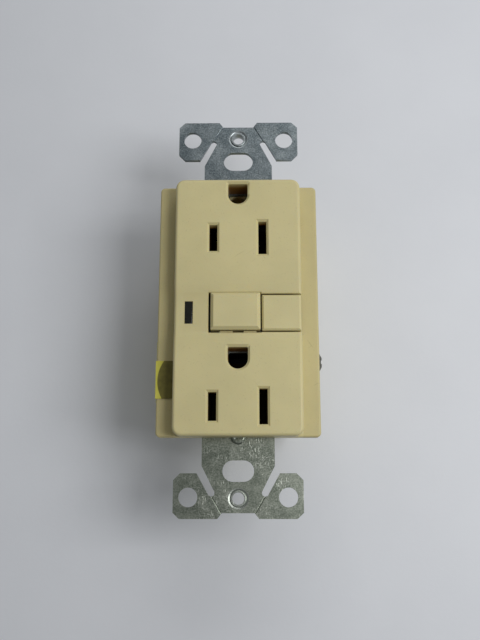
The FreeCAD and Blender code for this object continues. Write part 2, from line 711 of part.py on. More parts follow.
def face_contact(side):
    """One brass strip with a two-leaf clip behind each of its two slots and a tail to the load leg."""
    x = side * BLADE_X
    floor = -7.6
    strip = block(x - 1.6, x + 1.6, -29.9, 21.6, floor, floor + 0.6)
    leaves = []
    for y in BLADE_LINES_Y:
        for edge in (-1, 1):
            x0, x1 = sorted((x + edge * 0.85, x + edge * 1.3))
            leaves.append(block(x0, x1, y - 3.6, y + 3.6, floor, -0.6))
    t0, t1 = sorted((side * 10.25, side * 7.0))
    tail = block(t0, t1, BAY_Y[1] - 1.2, BAY_Y[1] + 1.2, floor, floor + 0.6)
    return join(strip, tail, *leaves)


def contact_carrier():
    """The moulded tray between the strap and the mechanism that holds every face contact."""
    middle = block(-CARRIER_HALF_W, CARRIER_HALF_W, -CARRIER_HALF_L, CARRIER_HALF_L, CARRIER_FLOOR, 0)
    top_end = block(-CARRIER_END_HALF_W, CARRIER_END_HALF_W, 14.6, CARRIER_HALF_L, CARRIER_FLOOR, 0)
    low_end = block(-CARRIER_END_HALF_W, CARRIER_END_HALF_W, -CARRIER_HALF_L, -21.2, CARRIER_FLOOR, 0)
    feet = [block(x - 0.9, x + 0.9, y - 2, y + 2, SHOULDER_Z + BODY_WALL, CARRIER_FLOOR)
            for x in (-14.0, 14.0) for y in (-25.5, 18.5)]
    body = join(middle, top_end, low_end, *feet)
    cuts = [block(
        STEM_X - SHAFT_HALF, STEM_X + SHAFT_HALF, STEM_Y - SHAFT_HALF, STEM_Y + SHAFT_HALF, SPRING_SEAT, 1)]
    cuts.append(rod(STEM_X, STEM_Y, CARRIER_FLOOR - 1, 1, PIN_R + 0.25))
    for side in (-1, 1):
        x0, x1 = sorted((side * 4.4, side * 8.4))
        cuts.append(block(x0, x1, -30.0, 21.8, -8.4, 1))
        t0, t1 = sorted((side * 8.0, side * 11.0))
        cuts.append(block(t0, t1, BAY_Y[1] - 1.5, BAY_Y[1] + 1.5, -8.4, 1))
        for y in (-COLUMN_Y, COLUMN_Y):
            cuts.append(rod(side * COLUMN_X, y, -20, 1, COLUMN_R + 0.1))
    for line_y, (rivet_y, _) in zip(BLADE_LINES_Y, RIVETS):
        g = line_y + GROUND_OFFSET
        cuts.append(block(-3.1, 3.1, g - 2.8, g + 2.9, -9.6, 1))
        cuts.append(block(-3.1, 3.1, rivet_y - 2.1, g, -1.1, 1))
    return less(body, *cuts)


# ---- trip mechanism ----------------------------------------------------------------------

def lifter():
    """The insulating block that the latch pin draws up; its wings push both contact arms."""
    wings = block(STEM_X - LIFTER_WING, STEM_X + LIFTER_WING, -4.8, 0.4, LIFTER_FLOOR, LIFTER_TOP - 0.6)
    ridge = block(STEM_X - LIFTER_WING, STEM_X + LIFTER_WING, -3.4, -1.8, LIFTER_FLOOR, LIFTER_TOP + 0.1)
    boss = block(STEM_X - 3.2, STEM_X + 3.2, STEM_Y - 3.2, STEM_Y + 3.2, LIFTER_FLOOR, -14.3)
    bore = rod(STEM_X, STEM_Y, -30, 0, PIN_R + 0.35)
    latch_way = block(
        STEM_X - 2.1, STEM_X + 2.1, -10, 10, LATCH_Z - 0.1, LATCH_Z + LATCH_T + 0.1)
    return less(join(wings, ridge, boss), bore, latch_way)


def latch_plate():
    """The sliding steel plate in the lifter; its slotted hole catches the latch pin's collar."""
    plate = block(STEM_X - 2.0, STEM_X + 2.0, -9.4, 3.6, LATCH_Z, LATCH_Z + LATCH_T)
    tab = block(STEM_X - 2.0, STEM_X + 2.0, -9.4, -8.8, LATCH_Z, -16.4)
    hole = join(
        rod(STEM_X, STEM_Y, -30, 0, PIN_R + 0.35),
        rod(STEM_X, STEM_Y - 1.3, -30, 0, PIN_R + 0.35),
        block(STEM_X - PIN_R - 0.35, STEM_X + PIN_R + 0.35, STEM_Y - 1.3, STEM_Y, -30, 0))
    return less(join(plate, tab), hole)


def contact_arm(side):
    """A sprung copper arm from its anchor to the moving contact."""
    x = STEM_X + side * ARM_DX
    arm = block(x - ARM_HALF_W, x + ARM_HALF_W, ARM_TIP_Y, ARM_PIVOT_Y + 0.25, ARM_Z, ARM_Z + ARM_T)
    return arm.makeFillet(0.6, [e for e in upright_edges(arm) if e.BoundBox.YMax < 0])


def moving_tip(side):
    x = STEM_X + side * ARM_DX
    return rod(x, TIP_Y, ARM_Z + ARM_T, ARM_Z + ARM_T + TIP_T, TIP_R)


def fixed_tip(side):
    x = STEM_X + side * ARM_DX
    return rod(x, TIP_Y, FOOT_Z - FIXED_TIP_T, FOOT_Z, TIP_R)


def solenoid_frame():
    """The bent steel bracket round the trip coil."""
    x0 = STEM_X - 5.4
    x1 = STEM_X + 5.4
    base = block(x0, x1, -26.2, -11.2, -24.6, -23.8)
    rear = block(x0, x1, -26.2, -25.4, -24.6, -13.2)
    front = block(x0, x1, -12.0, -11.2, -24.6, -13.2)
    bore = rod_y(STEM_X, -30, -5, SOLENOID_Z, PLUNGER_R + 0.3)
    return less(join(base, rear, front), bore)


def solenoid_bobbin():
    tube = rod_y(STEM_X, -25.4, -12.0, SOLENOID_Z, 2.9)
    flanges = [rod_y(STEM_X, y, y + 0.8, SOLENOID_Z, 5.2) for y in (-25.4, -12.8)]
    bore = rod_y(STEM_X, -30, -5, SOLENOID_Z, PLUNGER_R + 0.1)
    return less(join(tube, *flanges), bore)


def solenoid_coil():
    winding = rod_y(STEM_X, -24.6, -12.8, SOLENOID_Z, 4.9)
    return less(winding, rod_y(STEM_X, -30, -5, SOLENOID_Z, 2.9))


def plunger():
    """The trip plunger: a steel core, its nose and the cap that its spring pushes on."""
    core = rod_y(STEM_X, -28.6, -14.0, SOLENOID_Z, PLUNGER_R)
    nose = rod_y(STEM_X, -14.0, -9.6, SOLENOID_Z, NOSE_R)
    cap = rod_y(STEM_X, -29.2, -28.6, SOLENOID_Z, 3.2)
    return join(core, nose, cap)


def plunger_spring():
    spring = coil_spring(0, 0, 0, 2.3, 2.6, 0.2, 3.5)
    return laid_along_y(spring, STEM_X, -28.55, SOLENOID_Z)


def reset_spring():
    return coil_spring(STEM_X, STEM_Y, SPRING_SEAT + 0.05, 2.05, 1.5, 0.2, 8)


def opening_springs():
    """Two springs under the carrier that snap the lifter down when it trips."""
    low = LIFTER_TOP + 0.15
    high = CARRIER_FLOOR - 0.05
    return [coil_spring(STEM_X + dx, STEM_Y, low, high, 1.2, 0.2, 6) for dx in (-6, 6)]


def latch_spring():
    """The bent leaf on the lifter that pushes the latch plate back over the latch pin."""
    side = STEM_Y + 3.2
    far = 5.1
    t = 0.2
    root = block(STEM_X - 1, STEM_X + 1, side, side + t, -18.7, -15.5)
    reach = block(STEM_X - 1, STEM_X + 1, side, far, -18.7, -18.7 + t)
    tongue = block(STEM_X - 1, STEM_X + 1, far - t, far, -21.0, -18.7 + t)
    return join(root, reach, tongue)


def test_leaf():
    """The sprung contact strip that the test button bends down onto its post."""
    return block(10.8, 17.4, TEST_STEM_Y - 1.4, TEST_STEM_Y + 1.4, -5.9, -5.5)


def test_post():
    return rod(TEST_STEM_X, TEST_STEM_Y, BOARD_TOP, -7.6, 0.4)


# ---- board and its parts -----------------------------------------------------------------

def circuit_board():
    board = block(-BOARD_HALF_W, BOARD_HALF_W, -BOARD_HALF_L, BOARD_HALF_L, BOARD_TOP - BOARD_T, BOARD_TOP)
    corners = [rod(x, y, -40, 0, COLUMN_R + 0.3) for x, y in column_places()]
    return less(board, *corners)


def transformer(z0):
    """A taped ring core, wound evenly all round."""
    ring = less(rod(0, TORUS_Y, z0, z0 + TORUS_H, TORUS_R), rod(0, TORUS_Y, z0 - 1, z0 + 10, TORUS_BORE))
    return ring.makeFillet(0.9, [e for e in ring.Edges if len(e.Vertexes) == 1])


def transformer_housing():
    """The plastic cup round both ring cores, open in the middle for the two line strips."""
    low = -26.1
    high = -13.8
    outer = rod(0, TORUS_Y, low, high, TORUS_R + 1.1)
    inner = rod(0, TORUS_Y, low + 1.0, high + 1, TORUS_R + 0.1)
    shell = less(outer, inner)
    core = rod(0, TORUS_Y, low, high, TORUS_BORE - 0.1)
    return less(join(shell, core), rod(0, TORUS_Y, -40, 0, TORUS_BORE - 0.8))


def varistor():
    disc = rod_x(7.0, 10.2, -18.0, -21.6, 4.4)
    leads = [rod(8.6, y, BOARD_TOP, -22.0, 0.3) for y in (-20.5, -15.5)]
    return join(disc.makeFillet(0.7, disc.Edges[0:1]), *leads)


def smoothing_capacitor():
    can = rod(-9.3, -16.0, BOARD_TOP, -19.0, 2.3)
    return can.makeFillet(0.4, rim_edges(can, -19.0))


def film_capacitor():
    body = block(-11.6, -7.2, -25.0, -20.4, BOARD_TOP, -20.5)
    return body.makeFillet(0.6, upright_edges(body))


def controller_chip():
    """An eight-pin moulded chip with its pins down to the board."""
    body = block(-4.2, 4.2, 1.6, 7.0, BOARD_TOP + 0.5, BOARD_TOP + 3.2)
    pins = []
    for i in range(4):
        x = -3.3 + 2.2 * i
        for y in (1.2, 7.0):
            pins.append(block(x - 0.3, x + 0.3, y, y + 0.4, BOARD_TOP, BOARD_TOP + 1.9))
    return join(body, *pins)


def thyristor():
    body = less(rod(6.6, -4.6, BOARD_TOP + 0.6, BOARD_TOP + 4.6, 2.2), block(0, 20, -10, -5.9, -30, -20))
    pins = [block(6.4 + dx, 6.8 + dx, -4.8, -4.4, BOARD_TOP, BOARD_TOP + 0.7) for dx in (-1.2, 0, 1.2)]
    return join(body, *pins)


def axial_part(x, y, radius, long):
    """A part lying on the board with a lead at each end."""
    z = BOARD_TOP + radius + 0.1
    body = rod_y(x, y - long / 2, y + long / 2, z, radius)
    wire = rod_y(x, y - long / 2 - 0.9, y + long / 2 + 0.9, z, 0.25)
    feet = [rod(x, y + e * (long / 2 + 0.7), BOARD_TOP, z, 0.25) for e in (-1, 1)]
    return join(body, wire, *feet)


def resistors():
    places = ((-8.2, 2.6), (-5.9, -6.6), (7.4, 3.4), (3.0, -7.0))
    return [axial_part(x, y, 0.9, 4.6) for x, y in places]


def diode():
    return axial_part(-8.4, -6.2, 1.2, 4.4)


# ---- all nodes ---------------------------------------------------------------------------

def save_housing():
    save("front_cover", front_cover())
    save("back_body", back_body())
    save("contact_carrier", contact_carrier())
    save("housing_screws", *housing_screws())
    save("mounting_strap", mounting_strap())
    save("ground_rivets", *ground_rivets())
    save("upper_ground_contact", ground_contact(BLADE_LINES_Y[0], RIVETS[0][0]))
    save("lower_ground_contact", ground_contact(BLADE_LINES_Y[1], RIVETS[1][0]))
    save("ground_terminal", ground_terminal())
    save("ground_screw", ground_screw())
    save("load_terminal_tape", load_terminal_tape())


def save_controls():
    save("reset_button", reset_button())
    save("reset_pin", reset_pin())
    save("reset_spring", reset_spring())
    save("test_button", test_button())
    save("test_leaf", test_leaf())
    save("test_post", test_post())
    save("indicator_lens", indicator_lens())
    save("indicator_led", indicator_led())


def save_terminals():
    save("line_hot_terminal", line_terminal(-1))
    save("line_neutral_terminal", line_terminal(1))
    save("load_hot_terminal", load_terminal(-1))
    save("load_neutral_terminal", load_terminal(1))
    for circuit, y, out in (("line", BAY_Y[0], LINE_NEUTRAL_OUT), ("load", BAY_Y[1], LOAD_NEUTRAL_OUT)):
        for pole, side in (("hot", -1), ("neutral", 1)):
            save(circuit + "_" + pole + "_screw", terminal_screw(side, y, out if side > 0 else 0.0))
            save(circuit + "_" + pole + "_clamp", clamp_plate(side, y))


def save_contacts():
    for pole, side in (("hot", -1), ("neutral", 1)):
        save(pole + "_face_contact", face_contact(side))
        save(pole + "_contact_arm", contact_arm(side))
        save(pole + "_moving_tip", moving_tip(side))
        save(pole + "_fixed_tip", fixed_tip(side))


def save_trip_mechanism():
    save("lifter", lifter())
    save("latch_plate", latch_plate())
    save("latch_spring", latch_spring())
    save("opening_springs", *opening_springs())
    save("solenoid_frame", solenoid_frame())
    save("solenoid_bobbin", solenoid_bobbin())
    save("solenoid_coil", solenoid_coil())
    save("plunger", plunger())
    save("plunger_spring", plunger_spring())


def save_board():
    save("circuit_board", circuit_board())
    save("sensing_transformer", transformer(-19.0))
    save("neutral_transformer", transformer(-24.4))
    save("transformer_housing", transformer_housing())
    save("varistor", varistor())
    save("smoothing_capacitor", smoothing_capacitor())
    save("film_capacitor", film_capacitor())
    save("controller_chip", controller_chip())
    save("thyristor", thyristor())
    save("resistors", *resistors())
    save("diode", diode())


os.makedirs("parts", exist_ok=True)
save_housing()
save_controls()
save_terminals()
save_contacts()
save_trip_mechanism()
save_board()
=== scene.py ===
import json
import math

import bpy
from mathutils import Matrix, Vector


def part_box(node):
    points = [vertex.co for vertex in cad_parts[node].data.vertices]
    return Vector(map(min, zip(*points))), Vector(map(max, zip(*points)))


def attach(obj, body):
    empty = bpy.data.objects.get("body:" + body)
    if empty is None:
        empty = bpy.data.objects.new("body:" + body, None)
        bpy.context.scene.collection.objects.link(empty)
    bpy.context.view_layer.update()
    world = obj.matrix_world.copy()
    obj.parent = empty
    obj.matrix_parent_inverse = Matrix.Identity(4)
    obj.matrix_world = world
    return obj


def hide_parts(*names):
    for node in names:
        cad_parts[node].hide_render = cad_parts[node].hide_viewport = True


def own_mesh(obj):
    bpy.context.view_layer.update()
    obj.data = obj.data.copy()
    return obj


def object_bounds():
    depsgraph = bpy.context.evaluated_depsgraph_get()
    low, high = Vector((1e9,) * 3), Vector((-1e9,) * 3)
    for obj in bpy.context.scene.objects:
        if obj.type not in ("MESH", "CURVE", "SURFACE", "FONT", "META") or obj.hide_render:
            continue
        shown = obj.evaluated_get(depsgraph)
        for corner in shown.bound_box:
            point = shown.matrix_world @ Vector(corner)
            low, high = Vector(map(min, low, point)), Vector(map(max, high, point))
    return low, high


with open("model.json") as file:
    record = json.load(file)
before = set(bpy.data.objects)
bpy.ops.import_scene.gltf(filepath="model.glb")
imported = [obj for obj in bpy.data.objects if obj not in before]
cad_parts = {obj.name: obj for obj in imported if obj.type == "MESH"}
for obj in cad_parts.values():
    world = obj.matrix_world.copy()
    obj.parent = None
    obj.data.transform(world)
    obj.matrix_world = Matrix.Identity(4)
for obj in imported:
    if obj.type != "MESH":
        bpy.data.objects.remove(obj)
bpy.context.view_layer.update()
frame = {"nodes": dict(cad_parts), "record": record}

# A duplex ground-fault receptacle lying on its back. Sizes are in millimetres in the text and
# in metres in the scene. +Z is out of the face, +Y towards the ground holes, +X to the right.

MM = 0.001
NODES = frame["nodes"]


def corners(node):
    """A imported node's lowest and highest corners, in millimetres."""
    return [[round(part / MM, 3) for part in corner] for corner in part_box(node)]


# ---- sizes --------------------------------------------------------------------------------

# The cover: a low flange each side of a raised face with a shallow recess across it.
FLANGE_X, COVER_Y, FACE_Z = corners("front_cover")[1]
FLANGE_Z = 2.95
FACE_X = 16.2
FACE_CORNER = 2.2
FACE_RIM = 0.8
RECESS_Z = 8.0
RECESS_Y = (-10.41, -7.24, 2.63, 5.12)
WALL = 1.8
SKIN = 2.0
COVER_SCREWS = [(x, y) for x in (-11.5, 11.5) for y in (-28.2, 28.2)]
BOSS_R = 2.2
BOSS_BORE_R = 1.3

# Its plug openings: two blades and a ground pin about each line, with flared mouths.
LINES_Y = (17.3, -26.2)
GROUND_UP = 11.9
GROUND_R = 2.54
GROUND_FLAT = 2.95
BLADES = ((-6.35, 7.1), (6.35, 8.8))
SLOT_W = 2.1
LEAD_IN = 0.55
LEAD_DEEP = 0.5
TUBE_WALL = 0.9
TUBE_END = 5.4
GROUND_TUBE_END = 1.45

# Its wells for the two buttons and the lens, with eased rims.
WELL_X = (-7.45, 5.92)
WELL_Y = (-7.6, 2.78)
WELL_END = 3.2
TEST_Y = (-7.5, 2.5)
LENS_X = (-13.5, -11.45)
LENS_Y = (-5.3, 0.5)
LENS_END = 3.6
LEDGES_X = ((-4.6, -1.3), (1.5, 4.7))
LEDGE_OUT = 0.42
LEDGE_Z = (3.6, 7.5)
EASED = 0.16

# The strap, its tapped holes for the wall plate and its rivets.
STRAP_Z = 1.2
STRAP_HALF_W = 9.3
PLATE_SCREW_Y = 48.42
PLATE_SCREW_R = 1.5
LIP_R = 2.05
FUNNEL_R = 2.65
RIVETS_Y = (23.0, -20.4, -33.2)
RIVET_R = 1.9
RIVET_HIGH = 0.78

# The tape over one terminal, and the dark round patch on its tab.
TAPE_Y = -19.2
TAPE_STRIP = 0.27
PATCH_R = 9.0


# ---- small tools for modelling ------------------------------------------------------------

def deselect():
    """Leaves edit mode and lets go of every object."""
    if bpy.context.object and bpy.context.object.mode != "OBJECT":
        bpy.ops.object.mode_set(mode="OBJECT")
    bpy.ops.object.select_all(action="DESELECT")


def choose(piece):
    """Selects one piece and makes it active."""
    deselect()
    piece.select_set(True)
    bpy.context.view_layer.objects.active = piece


def settle():
    """Puts the active piece's place into its mesh, so that its object sits at the origin."""
    bpy.ops.object.transform_apply(location=True, rotation=True, scale=True)
    return bpy.context.object


def box(name, x, y, z):
    """A block between pairs of heights, widths and lengths, in millimetres."""
    deselect()
    middle = [MM * sum(pair) / 2 for pair in (x, y, z)]
    size = [MM * (pair[1] - pair[0]) for pair in (x, y, z)]
    bpy.ops.mesh.primitive_cube_add(size=1, location=middle, scale=size)
    bpy.context.object.name = name
    return settle()


def drum(name, centre, radius, depth, sides=48):
    """A round bar along Z with its middle at centre, in millimetres."""
    deselect()
    bpy.ops.mesh.primitive_cylinder_add(
        vertices=sides, radius=MM * radius, depth=MM * depth, location=[MM * part for part in centre])
    bpy.context.object.name = name
    return settle()


def pick(piece, edges=None, faces=None):
    """Opens a piece in edit mode with the edges or faces chosen that pass a test on their place."""
    choose(piece)
    mesh = piece.data
    for group in (mesh.vertices, mesh.edges, mesh.polygons):
        group.foreach_set("select", [False] * len(group))
    if edges:
        for edge in mesh.edges:
            ends = [mesh.vertices[v].co / MM for v in edge.vertices]
            edge.select = edges(*ends)
        bpy.context.tool_settings.mesh_select_mode = (False, True, False)
    if faces:
        for face in mesh.polygons:
            face.select = faces(face.center / MM, face.normal)
        bpy.context.tool_settings.mesh_select_mode = (False, False, True)
    bpy.ops.object.mode_set(mode="EDIT")


def close():
    """Leaves edit mode."""
    bpy.ops.object.mode_set(mode="OBJECT")


def bevel_edges(piece, test, width, segments=3):
    """Rounds the edges whose two ends pass the test."""
    pick(piece, edges=test)
    bpy.ops.mesh.bevel(
        offset=MM * width, offset_type="OFFSET", segments=segments, profile=0.5, affect="EDGES")
    close()


def boolean(piece, other, way):
    """Joins, or cuts with, another piece, which is used up."""
    choose(piece)
    step = piece.modifiers.new(way.lower(), "BOOLEAN")
    step.operation = way
    step.solver = "EXACT"
    step.object = other
    bpy.ops.object.modifier_apply(modifier=step.name)
    bpy.data.objects.remove(other, do_unlink=True)
    return piece


def cut(piece, *tools):
    for tool in tools:
        boolean(piece, tool, "DIFFERENCE")
    return piece


def weld(piece, *others):
    for other in others:
        boolean(piece, other, "UNION")
    return piece


def soften(piece, width, segments=2, angle=38):
    """Breaks every sharp edge with a small rounded bevel and smooths the shading."""
    choose(piece)
    step = piece.modifiers.new("broken_edges", "BEVEL")
    step.width = MM * width
    step.segments = segments
    step.limit_method = "ANGLE"
    step.angle_limit = math.radians(angle)
    step.use_clamp_overlap = True
    step.miter_outer = "MITER_ARC"
    bpy.ops.object.modifier_apply(modifier=step.name)
    return smooth(piece)


def smooth(piece, angle=34):
    """Smooths the shading of all but sharp edges and keeps flat faces flat."""
    choose(piece)
    bpy.ops.object.shade_smooth_by_angle(angle=math.radians(angle))
    step = piece.modifiers.new("even_faces", "WEIGHTED_NORMAL")
    step.keep_sharp = True
    bpy.ops.object.modifier_apply(modifier=step.name)
    return piece


def traced(name, node):
    """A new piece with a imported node's shape: its copy, merged and freed of flat seams."""
    piece = bpy.data.objects.new(name, NODES[node].data.copy())
    bpy.context.scene.collection.objects.link(piece)
    piece.data.materials.clear()
    choose(piece)
    bpy.ops.object.mode_set(mode="EDIT")
    bpy.ops.mesh.select_all(action="SELECT")
    bpy.ops.mesh.remove_doubles(threshold=2e-6)
    bpy.ops.mesh.dissolve_limited(angle_limit=math.radians(0.6))
    close()
    return piece


def fit_out(piece, body, finish, slot, *nodes):
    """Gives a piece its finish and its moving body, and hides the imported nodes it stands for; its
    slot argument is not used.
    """
    piece.data.materials.clear()
    piece.data.materials.append(finish)
    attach(piece, body)
    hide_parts(*nodes)
    return piece


# ---- finishes ----------------------------------------------------------------------------

class Finish:
    """A procedural material on Object coordinates, built up a step at a time."""

    def __init__(self, name, roughness, metallic=0.0):
        self.material = bpy.data.materials.new(name)
        self.material.use_nodes = True
        self.nodes = self.material.node_tree.nodes
        self.links = self.material.node_tree.links
        self.shader = self.nodes["Principled BSDF"]
        self.shader.inputs["Roughness"].default_value = roughness
        self.shader.inputs["Metallic"].default_value = metallic
        self.place = self.nodes.new("ShaderNodeTexCoord").outputs["Object"]

    def stretched(self, scale, turn=0.0):
        """Turns the place about Z and then squeezes it, so that noise on it draws lines."""
        step = self.nodes.new("ShaderNodeMapping")
        step.vector_type = "TEXTURE"
        step.inputs["Scale"].default_value = [1 / part for part in scale]
        step.inputs["Rotation"].default_value = (0, 0, turn)
        self.links.new(self.place, step.inputs["Vector"])
        return step.outputs["Vector"]

    def warped(self, source, per_metre, by_mm):
        """Bends a vector with slow noise, so that lines drawn along it curve."""
        drift = self.nodes.new("ShaderNodeTexNoise")
        drift.inputs["Scale"].default_value = per_metre
        self.links.new(self.place, drift.inputs["Vector"])
        centred = self.nodes.new("ShaderNodeVectorMath")
        centred.operation = "SUBTRACT"
        centred.inputs[1].default_value = (0.5, 0.5, 0.5)
        self.links.new(drift.outputs["Color"], centred.inputs[0])
        sized = self.nodes.new("ShaderNodeVectorMath")
        sized.operation = "SCALE"
        sized.inputs["Scale"].default_value = MM * by_mm
        self.links.new(centred.outputs[0], sized.inputs[0])
        moved = self.nodes.new("ShaderNodeVectorMath")
        moved.operation = "ADD"
        self.links.new(source, moved.inputs[0])
        self.links.new(sized.outputs[0], moved.inputs[1])
        return moved.outputs[0]

    def noise(self, per_metre, detail=3.0, rough=0.55, vector=None):
        """Cloudy noise, from 0 to 1, over the place or another vector."""
        step = self.nodes.new("ShaderNodeTexNoise")
        step.inputs["Scale"].default_value = per_metre
        step.inputs["Detail"].default_value = detail
        step.inputs["Roughness"].default_value = rough
        self.links.new(vector or self.place, step.inputs["Vector"])
        return step.outputs["Fac"]

    def cells(self, per_metre):
        """Patches of one grey each, as plating crystals are."""
        step = self.nodes.new("ShaderNodeTexVoronoi")
        step.inputs["Scale"].default_value = per_metre
        self.links.new(self.place, step.inputs["Vector"])
        grey = self.nodes.new("ShaderNodeRGBToBW")
        self.links.new(step.outputs["Color"], grey.inputs["Color"])
        return grey.outputs["Val"]

    def ramp(self, value, *stops):
        """Colours or greys at their places along a value from 0 to 1."""
        step = self.nodes.new("ShaderNodeValToRGB")
        points = step.color_ramp.elements
        while len(points) < len(stops):
            points.new(0.5)
        for point, (where, colour) in zip(points, stops):
            point.position = where
            point.color = colour if len(colour) == 4 else (*colour, 1.0)
        self.links.new(value, step.inputs["Fac"])
        return step.outputs["Color"]

    def axes(self):
        """The place along X, Y and Z."""
        split = self.nodes.new("ShaderNodeSeparateXYZ")
        self.links.new(self.place, split.inputs["Vector"])
        return split.outputs

    def length(self, a, b):
        """The length of the way whose two parts are a and b."""
        squares = self.math("ADD", self.math("MULTIPLY", a, a), self.math("MULTIPLY", b, b))
        return self.math("SQRT", squares)

    def math(self, way, a, b=0.5):
        """One step of arithmetic on values or sockets."""
        step = self.nodes.new("ShaderNodeMath")
        step.operation = way
        for socket, value in zip(step.inputs, (a, b)):
            if hasattr(value, "is_linked"):
                self.links.new(value, socket)
            else:
                socket.default_value = value
        return step.outputs["Value"]

    def blend(self, share, under, over, way="MIX"):
        """Two colours, mixed by a share from 0 to 1."""
        step = self.nodes.new("ShaderNodeMix")
        step.data_type = "RGBA"
        step.blend_type = way
        for name, value in (("Factor", share), ("A", under), ("B", over)):
            socket = [s for s in step.inputs if s.name == name and s.enabled][0]
            if hasattr(value, "is_linked"):
                self.links.new(value, socket)
            elif name == "Factor":
                socket.default_value = value
            else:
                socket.default_value = (*value, 1.0)
        return [s for s in step.outputs if s.enabled][0]

    def band(self, value, low, high):
        """Stretches a value's range to 0 to 1, without going past either end."""
        step = self.nodes.new("ShaderNodeMapRange")
        step.inputs["From Min"].default_value = low
        step.inputs["From Max"].default_value = high
        self.links.new(value, step.inputs["Value"])
        return step.outputs["Result"]

    def colour(self, source):
        """Gives the shader its colour."""
        self.links.new(source, self.shader.inputs["Base Color"])
        return self

    def rough(self, value, low, high):
        """Gives the shader a roughness that a value moves between two ends."""
        step = self.nodes.new("ShaderNodeMapRange")
        step.inputs["To Min"].default_value = low
        step.inputs["To Max"].default_value = high
        self.links.new(value, step.inputs["Value"])
        self.links.new(step.outputs["Result"], self.shader.inputs["Roughness"])
        return self

    def bump(self, height, deep_mm):
        """Adds fine relief on top of any that the shader has."""
        step = self.nodes.new("ShaderNodeBump")
        step.inputs["Distance"].default_value = MM * deep_mm
        self.links.new(height, step.inputs["Height"])
        previous = self.shader.inputs["Normal"].links
        if previous:
            self.links.new(previous[0].from_socket, step.inputs["Normal"])
        self.links.new(step.outputs["Normal"], self.shader.inputs["Normal"])
        return self


# The cover's openings lie within these half sizes. Painted shade darkens their walls from the first
# height down to the second, from the plastic's colour to a brown.
OPENINGS_X = 13.9
OPENINGS_Y = 32.3
LIT_Z = 8.1
DARK_Z = 5.6
HOLE_SHADE_BROWN = (0.250, 0.130, 0.030)
# Painted shade: the flanges' colour is multiplied by this, darker and yellower than the face of the
# same moulding.
FLANGE_PAINTED_SHADE = (0.88, 0.865, 0.83)


def painted_shade_in_openings(f):
    """Painted shade: from 0 at the mouths of the cover's slots and wells to 1 a few millimetres down
    them.
    """
    x, y, z = f.axes()
    deep = f.band(z, MM * LIT_Z, MM * DARK_Z)
    within_x = f.math("LESS_THAN", f.math("ABSOLUTE", x), MM * OPENINGS_X)
    within_y = f.math("LESS_THAN", f.math("ABSOLUTE", y), MM * OPENINGS_Y)
    return f.math("MULTIPLY", deep, f.math("MULTIPLY", within_x, within_y))


def flange_shade_mask(f):
    """1 on the cover's two low side flanges, where painted shade darkens them, and 0 on its raised
    face.
    """
    return f.band(f.math("ABSOLUTE", f.axes()["X"]), MM * (FACE_X + 0.1), MM * (FACE_X + 0.3))


def scuffs(f):
    """Short faint strokes that run two ways, in a few patches of the cover."""
    marks = None
    for turn in (0.6, 2.2):
        lines = f.warped(f.stretched((0.05, 1.0, 1.0), turn), 90, 1.5)
        strokes = f.band(f.noise(2100, 1, 0.5, lines), 0.70, 0.76)
        marks = f.math("MAXIMUM", marks, strokes) if marks else strokes
    return f.math("MULTIPLY", f.math("MULTIPLY", marks, 0.45), f.band(f.noise(120, 2), 0.56, 0.66))


def moulded(name, colour, roughness, grain=0.012, spread=0.05, glow=0.0, is_cover=False):
    """Moulded plastic: slow colour drift, fine specks, a spark-eroded grain and light rub marks.

    The cover is also scuffed, with painted shade darkening it down its openings and painted shade
    making its flanges darker and yellower."""
    f = Finish(name, roughness)
    darker = [c * (1 - spread) for c in colour]
    lighter = [min(1, c * (1 + spread)) for c in colour]
    drift = f.ramp(f.noise(70, 3), (0.32, darker), (0.68, lighter))
    specks = f.band(f.noise(2600, 1), 0.66, 0.76)
    surface = f.blend(f.math("MULTIPLY", specks, 0.22), drift, [c * 0.5 for c in colour])
    if is_cover:
        surface = f.blend(scuffs(f), surface, [c * 0.60 for c in colour])
        # Painted shade: the walls inside the openings darken to a brown with depth.
        surface = f.blend(painted_shade_in_openings(f), surface, HOLE_SHADE_BROWN)
        # Painted shade on the flanges, darker and yellower than the face.
        surface = f.blend(flange_shade_mask(f), surface, FLANGE_PAINTED_SHADE, "MULTIPLY")
    f.colour(surface)
    rub = f.noise(420, 4, 0.6, f.stretched((1.0, 0.16, 1.0), 0.5))
    f.rough(rub, roughness - 0.08, roughness + 0.1)
    f.bump(f.noise(3800, 2), grain)
    f.shader.inputs["Specular IOR Level"].default_value = 0.42
    if glow:
        f.shader.inputs["Subsurface Weight"].default_value = glow
        f.shader.inputs["Subsurface Radius"].default_value = (1.0, 0.62, 0.22)
        f.shader.inputs["Subsurface Scale"].default_value = MM * 1.2
    return f.material


def bright_metal(name, colour, low, high, grain=0.01, stretch=(1, 1, 1)):
    """Plated or rolled metal: crystal patches, drawn grain, duller clouds and fine bump."""
    f = Finish(name, low, 1.0)
    patches = f.cells(1300)
    clouds = f.noise(260, 4, 0.6)
    mixed = f.math("ADD", f.math("MULTIPLY", patches, 0.25), f.math("MULTIPLY", clouds, 0.75))
    dull = [c * 0.80 for c in colour]
    bright = [min(1, c * 1.10) for c in colour]
    f.colour(f.ramp(mixed, (0.25, dull), (0.75, bright)))
    grain_lines = f.noise(2400, 3, 0.6, f.stretched(stretch))
    f.rough(f.math("MULTIPLY", f.math("ADD", grain_lines, clouds), 0.5), low, high)
    f.bump(grain_lines, grain)
    return f.material


def highlight_near_tapped_holes(f):
    """1 round the strap's drawn and tapped holes for the wall-plate screws, where a highlight is
    painted, 0 past the funnels.
    """
    x, y, _ = f.axes()
    off_y = f.math("SUBTRACT", f.math("ABSOLUTE", y), MM * PLATE_SCREW_Y)
    return f.band(f.length(x, off_y), MM * (FUNNEL_R + 0.1), MM * (FUNNEL_R - 0.2))


